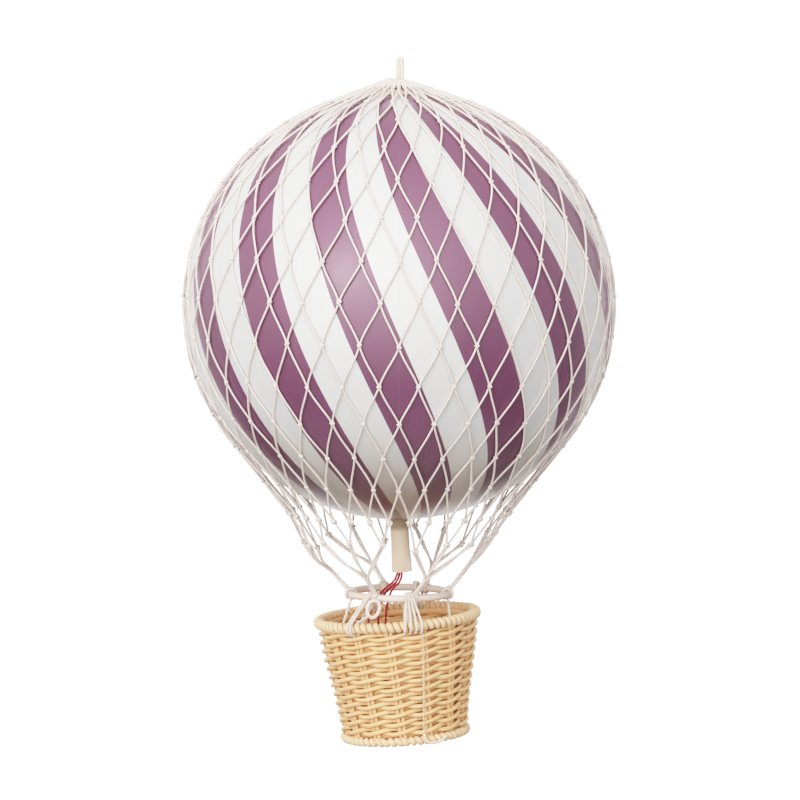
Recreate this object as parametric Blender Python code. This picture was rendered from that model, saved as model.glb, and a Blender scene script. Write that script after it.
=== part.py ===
"""Hanging balloon ornament: striped hollow ball in a knotted twine net, with a load ring and a basket.

Metres, +Z up, front towards -Y.  The origin is the inside top of the hanging loop, from which the
whole ornament hangs.  An azimuth is measured from the front (-Y) towards +X.
"""

import math

import bmesh
import bpy
from mathutils import Matrix, Vector

# Ball
BALL_RADIUS = 0.100
BALL_CENTRE_Z = -0.1165
SHELL_WALL = 0.0015
SHELL_SEGMENTS = 48
SHELL_OUTER_STEPS = 9
SHELL_INNER_STEPS = 6
SEAM_GAP = 0.0003
CROWN_HOLE_RADIUS = 0.0040
NECK_HOLE_RADIUS = 0.0049
BAND_HALF_HEIGHT = 0.0060
BAND_OUTER_RADIUS = 0.0973
BAND_WALL = 0.0008

# Hanging loop, with its stopper knot inside the ball
LOOP_STRAND_RADIUS = 0.0008
LOOP_HALF_SPACING = 0.0011
LOOP_LENGTH = 0.0250
LOOP_SIDES = 10
KNOT_RADIUS = 0.0034
KNOT_CENTRE_Z = -0.0252
WASHER_TOP_Z = -0.0202
WASHER_THICKNESS = 0.0010
WASHER_HOLE_RADIUS = 0.0023
WASHER_RADIUS = 0.0055

# Crown, where the net is gathered round the loop
CROWN_INNER_RADIUS = 0.0031
CROWN_OUTER_RADIUS = 0.0046
CROWN_TOP_Z = -0.0120
CROWN_BOTTOM_Z = -0.0135
LASHING_BOTTOM_Z = -0.0117
LASHING_HEIGHT = 0.0022
LASHING_OUTER_RADIUS = 0.0043

# Net
NET_COLUMNS = 36
NET_BALL_ROWS = 11
NET_HANGING_ROWS = 2
NET_TOP_LATITUDE = math.radians(70.0)
NET_BASE_RADIUS = 0.1009
MESH_SIDE = 0.0208
TWINE_WIDTH = 0.0017
TWINE_HEIGHT = 0.0015
LONGEST_MITRE = 0.0060

# Crow's feet, which gather six columns each at the load ring
FOOT_COUNT = 6
FOOT_FIRST_AZIMUTH = math.radians(-30.0)
FOOT_RING_AZIMUTHS = tuple(math.radians(a) for a in (-28.0, 18.0, 96.0, 147.0, 197.0, 268.0))
FOOT_JOIN_DISTANCE = 0.0180
FOOT_MERGE = (0.0308, -0.2415)
FOOT_END = (0.0270, -0.2468)
FOOT_START_GAP = 0.0030

# Neck sleeve: height, half width, half depth and sideways drift at each level
SLEEVE_LEVELS = (
    (-0.2140, 0.0044, 0.0044, -0.0001),
    (-0.2170, 0.0044, 0.0043, 0.0000),
    (-0.2290, 0.0043, 0.0038, 0.0006),
    (-0.2413, 0.0047, 0.0034, 0.0014),
)
SLEEVE_WALL = 0.0004
SLEEVE_SIDES = 20

# Red lines, from inside the sleeve through the ring into the basket
RED_LINE_RADIUS = 0.0005
RED_LINE_ROUTES = (
    (
        (-0.0003, -0.0006, -0.2330), (-0.0006, -0.0008, -0.2408), (-0.0022, -0.0014, -0.2456),
        (-0.0062, -0.0022, -0.2490), (-0.0092, -0.0028, -0.2522), (-0.0129, -0.0032, -0.2580),
        (-0.0147, -0.0034, -0.2680), (-0.0151, -0.0034, -0.2850), (-0.0148, -0.0030, -0.3010),
    ),
    (
        (0.0006, 0.0008, -0.2330), (0.0004, 0.0009, -0.2410), (-0.0008, 0.0008, -0.2458),
        (-0.0036, 0.0006, -0.2488), (-0.0068, 0.0004, -0.2520), (-0.0095, 0.0002, -0.2585),
        (-0.0099, 0.0000, -0.2700), (-0.0103, -0.0002, -0.2860), (-0.0108, -0.0004, -0.3040),
    ),
    (
        (0.0016, -0.0006, -0.2330), (0.0014, -0.0007, -0.2410), (0.0004, -0.0010, -0.2462),
        (-0.0028, -0.0016, -0.2492), (-0.0046, -0.0022, -0.2530), (-0.0061, -0.0028, -0.2600),
        (-0.0063, -0.0032, -0.2700), (-0.0062, -0.0036, -0.2850), (-0.0066, -0.0036, -0.2980),
    ),
)
RED_LINE_STEP = 0.0024

# Load ring and its whippings
RING_RADIUS = 0.0230
RING_SECTION = 0.0018
RING_Z = -0.2517
RING_SEGMENTS = 36
RING_SIDES = 8
WHIPPING_INNER = 0.0022
WHIPPING_OUTER = 0.0029
WHIPPING_HALF_ARC = math.radians(5.0)

# Basket, upright in its own frame; the frame leans about the basket's middle
BASKET_MIDDLE_Z = -0.2910
BASKET_SHIFT = 0.0011
BASKET_LEAN = math.radians(-4.0)
RIM_RADIUS = 0.0370
RIM_SECTION = 0.0022
RIM_Z = -0.2631
RIM_SEGMENTS = 40
RIM_SIDES = 8
WALL_OUTER = (
    (0.0376, -0.2657), (0.0366, -0.2755), (0.0346, -0.2865), (0.0325, -0.2970), (0.0309, -0.3070),
    (0.0299, -0.3152),
)
WALL_THICKNESS = 0.0032
WALL_SEGMENTS = 28
FOOT_BORDER_RADIUS = 0.0283
FOOT_BORDER_SECTION = 0.0022
FOOT_BORDER_Z = -0.3178
FLOOR_RADIUS = 0.0257
FLOOR_THICKNESS = 0.0020
FLOOR_TOP_Z = -0.3156
TIE_AZIMUTHS = tuple(math.radians(a) for a in (-34.0, 11.0, 80.0, 160.0, 200.0, 280.0))
TIE_TOP = (0.0275, -0.2566)
TIE_HALF_WIDTH = 0.0019
TIE_THICKNESS = 0.0013
TIE_GAP = 0.0004
TIE_ARC_START = math.radians(118.0)
TIE_ARC_END = math.radians(-62.0)
TIE_ARC_STEPS = 6
CORD_RADIUS = 0.00060
CORD_STEP = 0.0030
BASKET_CORD_ROUTE = (
    (17.0, 0.0388, -0.2668), (17.5, 0.0379, -0.2755), (17.0, 0.0359, -0.2865), (17.0, 0.0338, -0.2970),
    (16.5, 0.0322, -0.3070), (16.5, 0.0314, -0.3140), (17.0, 0.0317, -0.3190),
)


# ---------------------------------------------------------------- helpers

def clear_scene():
    for item in list(bpy.data.objects):
        bpy.data.objects.remove(item)


def make_material(name, colour, roughness, metallic=0.0):
    material = bpy.data.materials.new(name)
    material.use_nodes = True
    shader = material.node_tree.nodes["Principled BSDF"]
    shader.inputs["Base Color"].default_value = (*colour, 1.0)
    shader.inputs["Roughness"].default_value = roughness
    shader.inputs["Metallic"].default_value = metallic
    return material


def add_object(name, bm, material, sharp_degrees=40.0):
    """Store the bmesh as a named object, its faces turned outwards and its round parts smooth."""
    bmesh.ops.recalc_face_normals(bm, faces=bm.faces)
    mesh = bpy.data.meshes.new(name)
    bm.to_mesh(mesh)
    bm.free()
    mesh.materials.append(material)
    mesh.shade_smooth()
    mesh.set_sharp_from_angle(angle=math.radians(sharp_degrees))
    item = bpy.data.objects.new(name, mesh)
    bpy.context.collection.objects.link(item)
    return item


def around(radius, azimuth, z):
    """The point at a radius, an azimuth from the front and a height."""
    return Vector((radius * math.sin(azimuth), -radius * math.cos(azimuth), z))


def arc(radius, start, end, steps, centre=(0.0, 0.0)):
    """Points (r, z) on an arc whose angles are measured from +r towards +z."""
    points = []
    for step in range(steps + 1):
        angle = start + (end - start) * step / steps
        points.append((centre[0] + radius * math.cos(angle), centre[1] + radius * math.sin(angle)))
    return points


def spin_outline(outline, segments):
    """Turn a closed outline of (r, z) points all the way round the Z axis."""
    bm = bmesh.new()
    verts = [bm.verts.new((r, 0.0, z)) for r, z in outline]
    edges = [bm.edges.new((verts[i - 1], verts[i])) for i in range(len(verts))]
    bmesh.ops.spin(
        bm, geom=verts + edges, cent=(0, 0, 0), axis=(0, 0, 1), angle=2 * math.pi,
        steps=segments, use_merge=True,
    )
    bmesh.ops.remove_doubles(bm, verts=bm.verts, dist=1e-6)
    return bm


def sweep(rings, closed=False):
    """Join equal rings of points into one skin, capped at both ends unless it is closed."""
    bm = bmesh.new()
    loops = [[bm.verts.new(point) for point in ring] for ring in rings]
    count = len(loops[0])
    pairs = list(zip(loops, loops[1:]))
    if closed:
        pairs.append((loops[-1], loops[0]))
    for first, second in pairs:
        for i in range(count):
            bm.faces.new((first[i - 1], first[i], second[i], second[i - 1]))
    if not closed:
        bm.faces.new(loops[0])
        bm.faces.new(loops[-1])
    return bm


def smooth_route(points, spacing):
    """Evenly spaced points on a Catmull-Rom curve through the route's own points."""
    ends = [2 * points[0] - points[1]] + points + [2 * points[-1] - points[-2]]
    fine = []
    for a, b, c, d in zip(ends, ends[1:], ends[2:], ends[3:]):
        for step in range(20):
            t = step / 20
            fine.append(
                0.5 * (2 * b + (c - a) * t + (2 * a - 5 * b + 4 * c - d) * t * t
                       + (3 * b - a - 3 * c + d) * t ** 3)
            )
    fine.append(points[-1])
    length = sum((q - p).length for p, q in zip(fine, fine[1:]))
    count = round(length / spacing)
    result = [fine[0]]
    walked = 0.0
    for p, q in zip(fine, fine[1:]):
        step = (q - p).length
        while len(result) < count and walked + step >= length * len(result) / count:
            result.append(p.lerp(q, (length * len(result) / count - walked) / step))
        walked += step
    result.append(fine[-1])
    return result


def add_cord(name, route, radius, spacing, resolution, material):
    """A round cord along a route, as a curve with a bevel and filled ends."""
    curve = bpy.data.curves.new(name, "CURVE")
    curve.dimensions = "3D"
    curve.bevel_depth = radius
    curve.bevel_resolution = resolution
    curve.render_resolution_u = 0
    curve.use_fill_caps = True
    points = smooth_route([Vector(point) for point in route], spacing)
    spline = curve.splines.new("POLY")
    spline.points.add(len(points) - 1)
    for target, point in zip(spline.points, points):
        target.co = (*point, 1.0)
    spline.use_smooth = True
    curve.materials.append(material)
    item = bpy.data.objects.new(name, curve)
    bpy.context.collection.objects.link(item)
    return item


# ---------------------------------------------------------------- hanging loop and crown

def build_hanging_loop(material):
    """One cord: two strands side by side, round at the top, knotted inside the ball."""
    top_z = LOOP_STRAND_RADIUS - LOOP_HALF_SPACING
    bottom_z = top_z - LOOP_LENGTH
    path = arc(LOOP_HALF_SPACING, 0.0, math.pi, 8, (0.0, top_z))
    path += arc(LOOP_HALF_SPACING, math.pi, 2 * math.pi, 8, (0.0, bottom_z))
    path.append((LOOP_HALF_SPACING, 0.5 * (top_z + bottom_z)))
    path.insert(9, (-LOOP_HALF_SPACING, 0.5 * (top_z + bottom_z)))
    rings = []
    for i, (x, z) in enumerate(path):
        after = path[(i + 1) % len(path)]
        tangent = Vector((after[0] - path[i - 1][0], 0.0, after[1] - path[i - 1][1])).normalized()
        side = Vector((0.0, 1.0, 0.0)).cross(tangent)
        ring = []
        for k in range(LOOP_SIDES):
            turn = 2 * math.pi * k / LOOP_SIDES
            offset = side * math.cos(turn) + Vector((0.0, 1.0, 0.0)) * math.sin(turn)
            ring.append(Vector((x, 0.0, z)) + LOOP_STRAND_RADIUS * offset)
        rings.append(ring)
    loop = add_object("hanging_loop", sweep(rings, closed=True), material)
    knot_bm = bmesh.new()
    bmesh.ops.create_uvsphere(
        knot_bm, u_segments=14, v_segments=9, radius=KNOT_RADIUS,
        matrix=Matrix.Translation((0.0, 0.0, KNOT_CENTRE_Z)),
    )
    knot = add_object("knot_guide", knot_bm, material)
    knot.hide_render = True
    knot.display_type = "WIRE"
    union = loop.modifiers.new("stopper_knot", "BOOLEAN")
    union.operation = "UNION"
    union.solver = "EXACT"
    union.object = knot


def build_washer(material):
    """The flat washer over the stopper knot, which spreads the pull under the ball's top."""
    bottom_z = WASHER_TOP_Z - WASHER_THICKNESS
    outline = (
        (WASHER_HOLE_RADIUS, bottom_z), (WASHER_RADIUS, bottom_z),
        (WASHER_RADIUS, WASHER_TOP_Z), (WASHER_HOLE_RADIUS, WASHER_TOP_Z),
    )
    add_object("washer", spin_outline(outline, 20), material)


def build_crown_lashing(material):
    """Turns of twine that bind the net's gathered top."""
    half_height = 0.5 * LASHING_HEIGHT
    middle_z = LASHING_BOTTOM_Z + half_height
    middle_r = 0.5 * (CROWN_INNER_RADIUS + LASHING_OUTER_RADIUS)
    half_width = LASHING_OUTER_RADIUS - middle_r
    outline = []
    for r, z in arc(1.0, 0.0, 2 * math.pi, 8)[:-1]:
        outline.append((middle_r + half_width * r, middle_z + half_height * z))
    add_object("crown_lashing", spin_outline(outline, 20), material)


# ---------------------------------------------------------------- ball

def build_shell(name, upper, hole_radius, material):
    """Half of the hollow ball, from the seam to the round hole at its pole."""
    side = 1.0 if upper else -1.0
    outer_hole = math.acos(hole_radius / BALL_RADIUS)
    inner_radius = BALL_RADIUS - SHELL_WALL
    inner_hole = math.acos(hole_radius / inner_radius)
    outer_seam = math.asin(0.5 * SEAM_GAP / BALL_RADIUS)
    inner_seam = math.asin(0.5 * SEAM_GAP / inner_radius)
    outline = arc(BALL_RADIUS, outer_seam, outer_hole, SHELL_OUTER_STEPS)
    outline += arc(inner_radius, inner_hole, inner_seam, SHELL_INNER_STEPS)
    outline = [(r, BALL_CENTRE_Z + side * z) for r, z in outline]
    add_object(name, spin_outline(outline, SHELL_SEGMENTS), material)


def build_joining_band(material):
    """A strip inside the seam, to which both half shells are glued."""
    inner = BAND_OUTER_RADIUS - BAND_WALL
    low = BALL_CENTRE_Z - BAND_HALF_HEIGHT
    high = BALL_CENTRE_Z + BAND_HALF_HEIGHT
    outline = ((inner, low), (BAND_OUTER_RADIUS, low), (BAND_OUTER_RADIUS, high), (inner, high))
    add_object("joining_band", spin_outline(outline, SHELL_SEGMENTS), material)


# ---------------------------------------------------------------- twine lattice

class Lattice:
    """A body of flat-backed twine: prisms between knots, all one closed skin.

    Each knot keeps one apex vertex and a base corner between every two neighbouring strands, so the
    prisms share their corners and no faces are left inside.
    """

    def __init__(self):
        self.bm = bmesh.new()
        self.places = []
        self.normals = []
        self.strands = []

    def knot(self, place, normal):
        self.places.append(place)
        self.normals.append(normal.normalized())
        return len(self.places) - 1

    def strand(self, first, second):
        self.strands.append((first, second))

    def bearings(self, knot):
        """The knot's neighbours, sorted round its normal, with their directions in its plane."""
        normal = self.normals[knot]
        east = Vector((0.0, 0.0, 1.0)).cross(normal).normalized()
        north = normal.cross(east)
        found = []
        for first, second in self.strands:
            if knot in (first, second):
                other = second if knot == first else first
                way = self.places[other] - self.places[knot]
                way = (way - way.dot(normal) * normal).normalized()
                found.append((math.atan2(way.dot(north), way.dot(east)), other, way))
        return sorted(found, key=lambda entry: entry[0])

    def skin(self, fixed):
        """Build all faces.  fixed maps a knot to {neighbour: (right, apex, left)} made elsewhere."""
        half = 0.5 * TWINE_WIDTH
        ends = dict(fixed)
        used = {index for pair in self.strands for index in pair}
        for knot in sorted(used - set(fixed)):
            place = self.places[knot]
            normal = self.normals[knot]
            apex = self.bm.verts.new(place + TWINE_HEIGHT * normal)
            found = self.bearings(knot)
            corners = []
            if len(found) == 1:
                left = normal.cross(found[0][2])
                corners = [self.bm.verts.new(place + half * left), self.bm.verts.new(place - half * left)]
            else:
                for i, (angle, other, way) in enumerate(found):
                    gap = (found[(i + 1) % len(found)][0] - angle) % (2 * math.pi)
                    bisector = Matrix.Rotation(0.5 * gap, 3, normal) @ way
                    reach = min(half / max(math.sin(0.5 * gap), 0.05), LONGEST_MITRE)
                    corners.append(self.bm.verts.new(place + reach * bisector))
            if len(found) != 2:
                self.bm.faces.new(corners if len(corners) > 2 else corners + [apex])
            ends[knot] = {}
            for i, (angle, other, way) in enumerate(found):
                ends[knot][other] = (corners[i - 1], apex, corners[i])
        for first, second in self.strands:
            right, apex, left = ends[first][second]
            far_right, far_apex, far_left = ends[second][first]
            self.bm.faces.new((right, left, far_right, far_left))
            self.bm.faces.new((left, apex, far_apex, far_right))
            self.bm.faces.new((apex, right, far_left, far_apex))
        return self.bm


def hanging_line():
    """Where the net leaves the ball for the ring: the tangent latitude and the unit fall (r, z)."""
    target_r = RING_RADIUS
    target_z = RING_Z + RING_SECTION - BALL_CENTRE_Z
    distance = math.hypot(target_r, target_z)
    latitude = math.atan2(target_z, target_r) + math.acos(NET_BASE_RADIUS / distance)
    return latitude, (math.sin(latitude), -math.cos(latitude))


def net_levels():
    """Radius, height and outward tilt of each row of knots, one mesh side apart."""
    tangent, fall = hanging_line()
    half_step = math.pi / NET_COLUMNS
    levels = []
    latitude = NET_TOP_LATITUDE
    for row in range(NET_BALL_ROWS):
        levels.append((
            NET_BASE_RADIUS * math.cos(latitude),
            BALL_CENTRE_Z + NET_BASE_RADIUS * math.sin(latitude), latitude,
        ))
        across = math.cos(latitude) * half_step
        latitude -= math.sqrt((MESH_SIDE / NET_BASE_RADIUS) ** 2 - across ** 2)
        latitude = max(latitude, tangent)
    r, z = levels[-1][0], levels[-1][1]
    for row in range(NET_HANGING_ROWS):
        down = math.sqrt(MESH_SIDE ** 2 - (r * half_step) ** 2)
        r += fall[0] * down
        z += fall[1] * down
        levels.append((r, z, tangent))
    return levels


def knot_azimuth(row, column):
    """Odd rows have a knot at the front; even rows lie half a mesh aside."""
    return 2 * math.pi * (column + (0.5 if row % 2 == 0 else 0.0)) / NET_COLUMNS


def crown_ends(bm, azimuths):
    """The gathered crown: a flat ring whose outer edge carries one strand's end per azimuth."""
    half_step = math.pi / NET_COLUMNS
    corners = [bm.verts.new(around(CROWN_OUTER_RADIUS, a - half_step, CROWN_BOTTOM_Z)) for a in azimuths]
    tips = [bm.verts.new(around(CROWN_OUTER_RADIUS, a, CROWN_TOP_Z)) for a in azimuths]
    inner_top = [bm.verts.new(around(CROWN_INNER_RADIUS, a, CROWN_TOP_Z)) for a in azimuths]
    inner_low = [bm.verts.new(around(CROWN_INNER_RADIUS, a, CROWN_BOTTOM_Z)) for a in azimuths]
    count = len(azimuths)
    for i in range(count):
        following = (i + 1) % count
        bm.faces.new((tips[i], corners[following], tips[following]))
        bm.faces.new((tips[i], tips[following], inner_top[following], inner_top[i]))
        bm.faces.new((inner_top[i], inner_top[following], inner_low[following], inner_low[i]))
        bm.faces.new((inner_low[i], inner_low[following], corners[following]))
        bm.faces.new((inner_low[i], corners[following], corners[i]))
    return [(corners[i], tips[i], corners[(i + 1) % count]) for i in range(count)]


def build_net(material):
    """The whole net, from the crown to the last full row of knots."""
    lattice = Lattice()
    rows = []
    for row, (radius, z, tilt) in enumerate(net_levels()):
        knots = []
        for column in range(NET_COLUMNS):
            azimuth = knot_azimuth(row, column)
            normal = around(math.cos(tilt), azimuth, math.sin(tilt))
            knots.append(lattice.knot(around(radius, azimuth, z), normal))
        rows.append(knots)
    for row, (above, below) in enumerate(zip(rows, rows[1:])):
        for column in range(NET_COLUMNS):
            aside = 1 if row % 2 == 0 else -1
            lattice.strand(above[column], below[column])
            lattice.strand(above[column], below[(column + aside) % NET_COLUMNS])
    azimuths = [knot_azimuth(0, column) for column in range(NET_COLUMNS)]
    fixed = {}
    for column, end in enumerate(crown_ends(lattice.bm, azimuths)):
        crown = lattice.knot(around(CROWN_OUTER_RADIUS, azimuths[column], CROWN_BOTTOM_Z), Vector((0, 0, 1)))
        lattice.strand(rows[0][column], crown)
        fixed[crown] = {rows[0][column]: end}
    add_object("net", lattice.skin(fixed), material, 60.0)


def build_crows_foot(index, material):
    """Legs from six knots of the net's last row, joined two by two, then to one end at the ring."""
    fall = hanging_line()[1]
    last_r, last_z, tilt = net_levels()[-1]
    step = 2 * math.pi / NET_COLUMNS
    middle = FOOT_FIRST_AZIMUTH + index * 2 * math.pi / FOOT_COUNT
    join_r = last_r + fall[0] * FOOT_JOIN_DISTANCE
    join_z = last_z + fall[1] * FOOT_JOIN_DISTANCE
    lattice = Lattice()

    def normal(azimuth):
        return around(math.cos(tilt), azimuth, math.sin(tilt))

    at_ring = FOOT_RING_AZIMUTHS[index]
    merge = lattice.knot(around(FOOT_MERGE[0], 0.5 * (middle + at_ring), FOOT_MERGE[1]), normal(middle))
    end = lattice.knot(around(FOOT_END[0], at_ring, FOOT_END[1]), normal(at_ring))
    lattice.strand(merge, end)
    for side in (-1, 0, 1):
        azimuth = middle + 2 * side * step
        join_place = around(join_r, azimuth, join_z)
        join = lattice.knot(join_place, normal(azimuth))
        lattice.strand(merge, join)
        for half in (-0.5, 0.5):
            top_azimuth = azimuth + half * step
            top_place = around(last_r, top_azimuth, last_z)
            top_place += FOOT_START_GAP * (join_place - top_place).normalized()
            lattice.strand(join, lattice.knot(top_place, normal(top_azimuth)))
    add_object(f"crows_foot_{index + 1:02d}", lattice.skin({}), material, 60.0)


# ---------------------------------------------------------------- neck, ring

def build_sleeve(material):
    """A thin paper tube that flattens downwards, open at both ends."""
    rings = []
    for level in list(SLEEVE_LEVELS) + list(reversed(SLEEVE_LEVELS)):
        inside = len(rings) >= len(SLEEVE_LEVELS)
        z, half_width, half_depth, drift = level
        trim = SLEEVE_WALL if inside else 0.0
        ring = []
        for k in range(SLEEVE_SIDES):
            turn = 2 * math.pi * k / SLEEVE_SIDES
            x = drift + (half_width - trim) * math.cos(turn)
            ring.append(Vector((x, (half_depth - trim) * math.sin(turn), z)))
        rings.append(ring)
    add_object("neck_sleeve", sweep(rings, closed=True), material)


def build_load_ring(material):
    outline = arc(RING_SECTION, 0.0, 2 * math.pi, RING_SIDES, (RING_RADIUS, RING_Z))[:-1]
    add_object("load_ring", spin_outline(outline, RING_SEGMENTS), material)


def build_ring_whipping(index, material):
    """A few turns of twine round the ring, where a crow's foot is made fast."""
    middle = FOOT_RING_AZIMUTHS[index]
    rings = []
    for section in (WHIPPING_OUTER, WHIPPING_INNER):
        profile = arc(section, 0.0, 2 * math.pi, RING_SIDES, (RING_RADIUS, RING_Z))[:-1]
        for side in (-1, 1) if section == WHIPPING_OUTER else (1, -1):
            azimuth = middle + side * WHIPPING_HALF_ARC
            rings.append([around(r, azimuth, z) for r, z in profile])
    add_object(f"ring_whipping_{index + 1:02d}", sweep(rings, closed=True), material)


# ---------------------------------------------------------------- basket

def build_rim(material):
    outline = arc(RIM_SECTION, 0.0, 2 * math.pi, RIM_SIDES, (RIM_RADIUS, RIM_Z))[:-1]
    return add_object("basket_rim", spin_outline(outline, RIM_SEGMENTS), material)


def build_wall(material):
    outline = list(WALL_OUTER) + [(r - WALL_THICKNESS, z) for r, z in reversed(WALL_OUTER)]
    return add_object("basket_wall", spin_outline(outline, WALL_SEGMENTS), material)


def build_foot_border(material):
    centre = (FOOT_BORDER_RADIUS, FOOT_BORDER_Z)
    outline = arc(FOOT_BORDER_SECTION, 0.0, 2 * math.pi, RIM_SIDES, centre)[:-1]
    return add_object("basket_foot_border", spin_outline(outline, WALL_SEGMENTS), material)


def build_floor(material):
    bm = bmesh.new()
    place = Matrix.Translation((0.0, 0.0, FLOOR_TOP_Z - 0.5 * FLOOR_THICKNESS))
    bmesh.ops.create_cone(
        bm, cap_ends=True, segments=WALL_SEGMENTS, radius1=FLOOR_RADIUS, radius2=FLOOR_RADIUS,
        depth=FLOOR_THICKNESS, matrix=place,
    )
    return add_object("basket_floor", bm, material)


def build_tie(index, azimuth, material):
    """A flat bundle of white cord from just under the ring, over the rim and down its outside."""
    inner = RIM_SECTION + TIE_GAP
    centre = (RIM_RADIUS, RIM_Z)
    low = [TIE_TOP] + arc(inner, TIE_ARC_START, TIE_ARC_END, TIE_ARC_STEPS, centre)
    high = [(TIE_TOP[0], TIE_TOP[1] + TIE_THICKNESS)]
    high += arc(inner + TIE_THICKNESS, TIE_ARC_START, TIE_ARC_END, TIE_ARC_STEPS, centre)
    across = around(1.0, azimuth + 0.5 * math.pi, 0.0) * TIE_HALF_WIDTH
    rings = []
    for below, above in zip(low, high):
        under = around(below[0], azimuth, below[1])
        over = around(above[0], azimuth, above[1])
        rings.append([under - across, under + across, over + across, over - across])
    return add_object(f"basket_tie_{index + 1:02d}", sweep(rings), material)


def build_basket_cord(material):
    """The white cord that runs down the wall's front to the foot."""
    route = [around(r, math.radians(azimuth), z) for azimuth, r, z in BASKET_CORD_ROUTE]
    return add_cord("basket_cord", route, CORD_RADIUS, CORD_STEP, 1, material)


def lean_basket(pieces):
    """Hang the basket's pieces on one frame, shifted a little and leaning about the basket's middle."""
    frame = bpy.data.objects.new("basket_frame", None)
    bpy.context.collection.objects.link(frame)
    frame.location = (BASKET_SHIFT, 0.0, BASKET_MIDDLE_Z)
    frame.rotation_euler = (0.0, BASKET_LEAN, 0.0)
    for piece in pieces:
        piece.parent = frame
        piece.location = (0.0, 0.0, -BASKET_MIDDLE_Z)


# ---------------------------------------------------------------- assembly

def build():
    clear_scene()
    lacquer = make_material("lacquered_shell", (0.84, 0.83, 0.81), 0.34)
    band_card = make_material("band_card", (0.62, 0.52, 0.38), 0.85)
    washer_wood = make_material("washer_wood", (0.55, 0.40, 0.24), 0.70)
    loop_cord = make_material("loop_cord", (0.84, 0.76, 0.62), 0.80)
    twine = make_material("net_twine", (0.82, 0.72, 0.66), 0.85)
    neck_paper = make_material("neck_paper", (0.68, 0.53, 0.38), 0.70)
    red_cord = make_material("red_cord", (0.42, 0.03, 0.06), 0.75)
    ring_cane = make_material("ring_cane", (0.76, 0.62, 0.48), 0.50)
    white_cord = make_material("white_cord", (0.86, 0.82, 0.74), 0.80)
    rim_cane = make_material("rim_cane", (0.84, 0.69, 0.46), 0.48)
    wall_cane = make_material("wall_cane", (0.74, 0.52, 0.28), 0.50)

    build_hanging_loop(loop_cord)
    build_washer(washer_wood)
    build_crown_lashing(twine)
    build_shell("upper_shell", True, CROWN_HOLE_RADIUS, lacquer)
    build_shell("lower_shell", False, NECK_HOLE_RADIUS, lacquer)
    build_joining_band(band_card)
    build_net(twine)
    for index in range(FOOT_COUNT):
        build_crows_foot(index, twine)
    build_sleeve(neck_paper)
    for index, route in enumerate(RED_LINE_ROUTES):
        add_cord(f"red_line_{index + 1:02d}", route, RED_LINE_RADIUS, RED_LINE_STEP, 2, red_cord)
    build_load_ring(ring_cane)
    for index in range(FOOT_COUNT):
        build_ring_whipping(index, twine)

    basket = [build_rim(rim_cane), build_wall(wall_cane), build_foot_border(wall_cane)]
    basket += [build_floor(wall_cane), build_basket_cord(white_cord)]
    for index, azimuth in enumerate(TIE_AZIMUTHS):
        basket.append(build_tie(index, azimuth, white_cord))
    lean_basket(basket)


build()
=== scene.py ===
"""Looks of the hanging balloon ornament: painted ball, knotted twine net, cane ring and twined basket.

Metres, +Z up, front towards -Y, origin at the inside top of the hanging loop.  An azimuth is measured
from the front (-Y) towards +X.
"""

import random
from math import acos, asin, atan2, copysign, cos, hypot, pi, radians, sin, sqrt, tan, tau

import bpy
from mathutils import Matrix, Vector


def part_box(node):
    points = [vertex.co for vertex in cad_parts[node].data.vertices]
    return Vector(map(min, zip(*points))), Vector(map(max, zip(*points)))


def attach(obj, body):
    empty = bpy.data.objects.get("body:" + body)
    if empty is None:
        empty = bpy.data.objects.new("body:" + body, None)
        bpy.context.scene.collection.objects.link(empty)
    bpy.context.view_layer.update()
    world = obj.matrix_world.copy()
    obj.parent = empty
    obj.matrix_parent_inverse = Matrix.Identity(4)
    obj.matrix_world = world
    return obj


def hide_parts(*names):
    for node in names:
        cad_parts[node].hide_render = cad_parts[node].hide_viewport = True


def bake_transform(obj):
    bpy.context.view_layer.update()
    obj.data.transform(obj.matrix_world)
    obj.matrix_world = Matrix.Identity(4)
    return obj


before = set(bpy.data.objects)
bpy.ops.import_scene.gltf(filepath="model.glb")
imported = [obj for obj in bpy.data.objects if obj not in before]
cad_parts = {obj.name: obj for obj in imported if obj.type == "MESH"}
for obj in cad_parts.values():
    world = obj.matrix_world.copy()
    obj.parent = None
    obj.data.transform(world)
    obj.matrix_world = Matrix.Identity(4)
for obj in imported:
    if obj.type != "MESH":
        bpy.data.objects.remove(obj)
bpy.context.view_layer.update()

UP = Vector((0.0, 0.0, 1.0))
FRONT = Vector((0.0, -1.0, 0.0))

# ---- dimensions, as in the CAD

BALL_LOW, BALL_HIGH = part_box("lower_shell")[0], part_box("upper_shell")[1]
SEAM_Z = 0.5 * (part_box("upper_shell")[0][2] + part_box("lower_shell")[1][2])
BALL_RADIUS = 0.5 * (BALL_HIGH[0] - BALL_LOW[0])
SHELL_WALL = 0.0015
CROWN_HOLE_RADIUS = 0.0040
NECK_HOLE_RADIUS = 0.0049

RING_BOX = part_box("load_ring")
RING_Z = 0.5 * (RING_BOX[0][2] + RING_BOX[1][2])
RING_SECTION = 0.5 * (RING_BOX[1][2] - RING_BOX[0][2])
RING_RADIUS = 0.5 * (RING_BOX[1][0] - RING_BOX[0][0]) - RING_SECTION

BASKET_MIDDLE_Z = -0.2910
BASKET_SHIFT = 0.0011
BASKET_LEAN = radians(-4.0)
RIM_RADIUS = 0.0370
RIM_SECTION = 0.0022
RIM_Z = -0.2631
WALL_OUTER = (
    (0.0376, -0.2657), (0.0366, -0.2755), (0.0346, -0.2865), (0.0325, -0.2970), (0.0309, -0.3070),
    (0.0299, -0.3152),
)
FOOT_BORDER_RADIUS = 0.0283
FOOT_BORDER_SECTION = 0.0022
FOOT_BORDER_Z = -0.3178
FLOOR_RADIUS = 0.0257
FLOOR_TOP_Z = -0.3156

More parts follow.
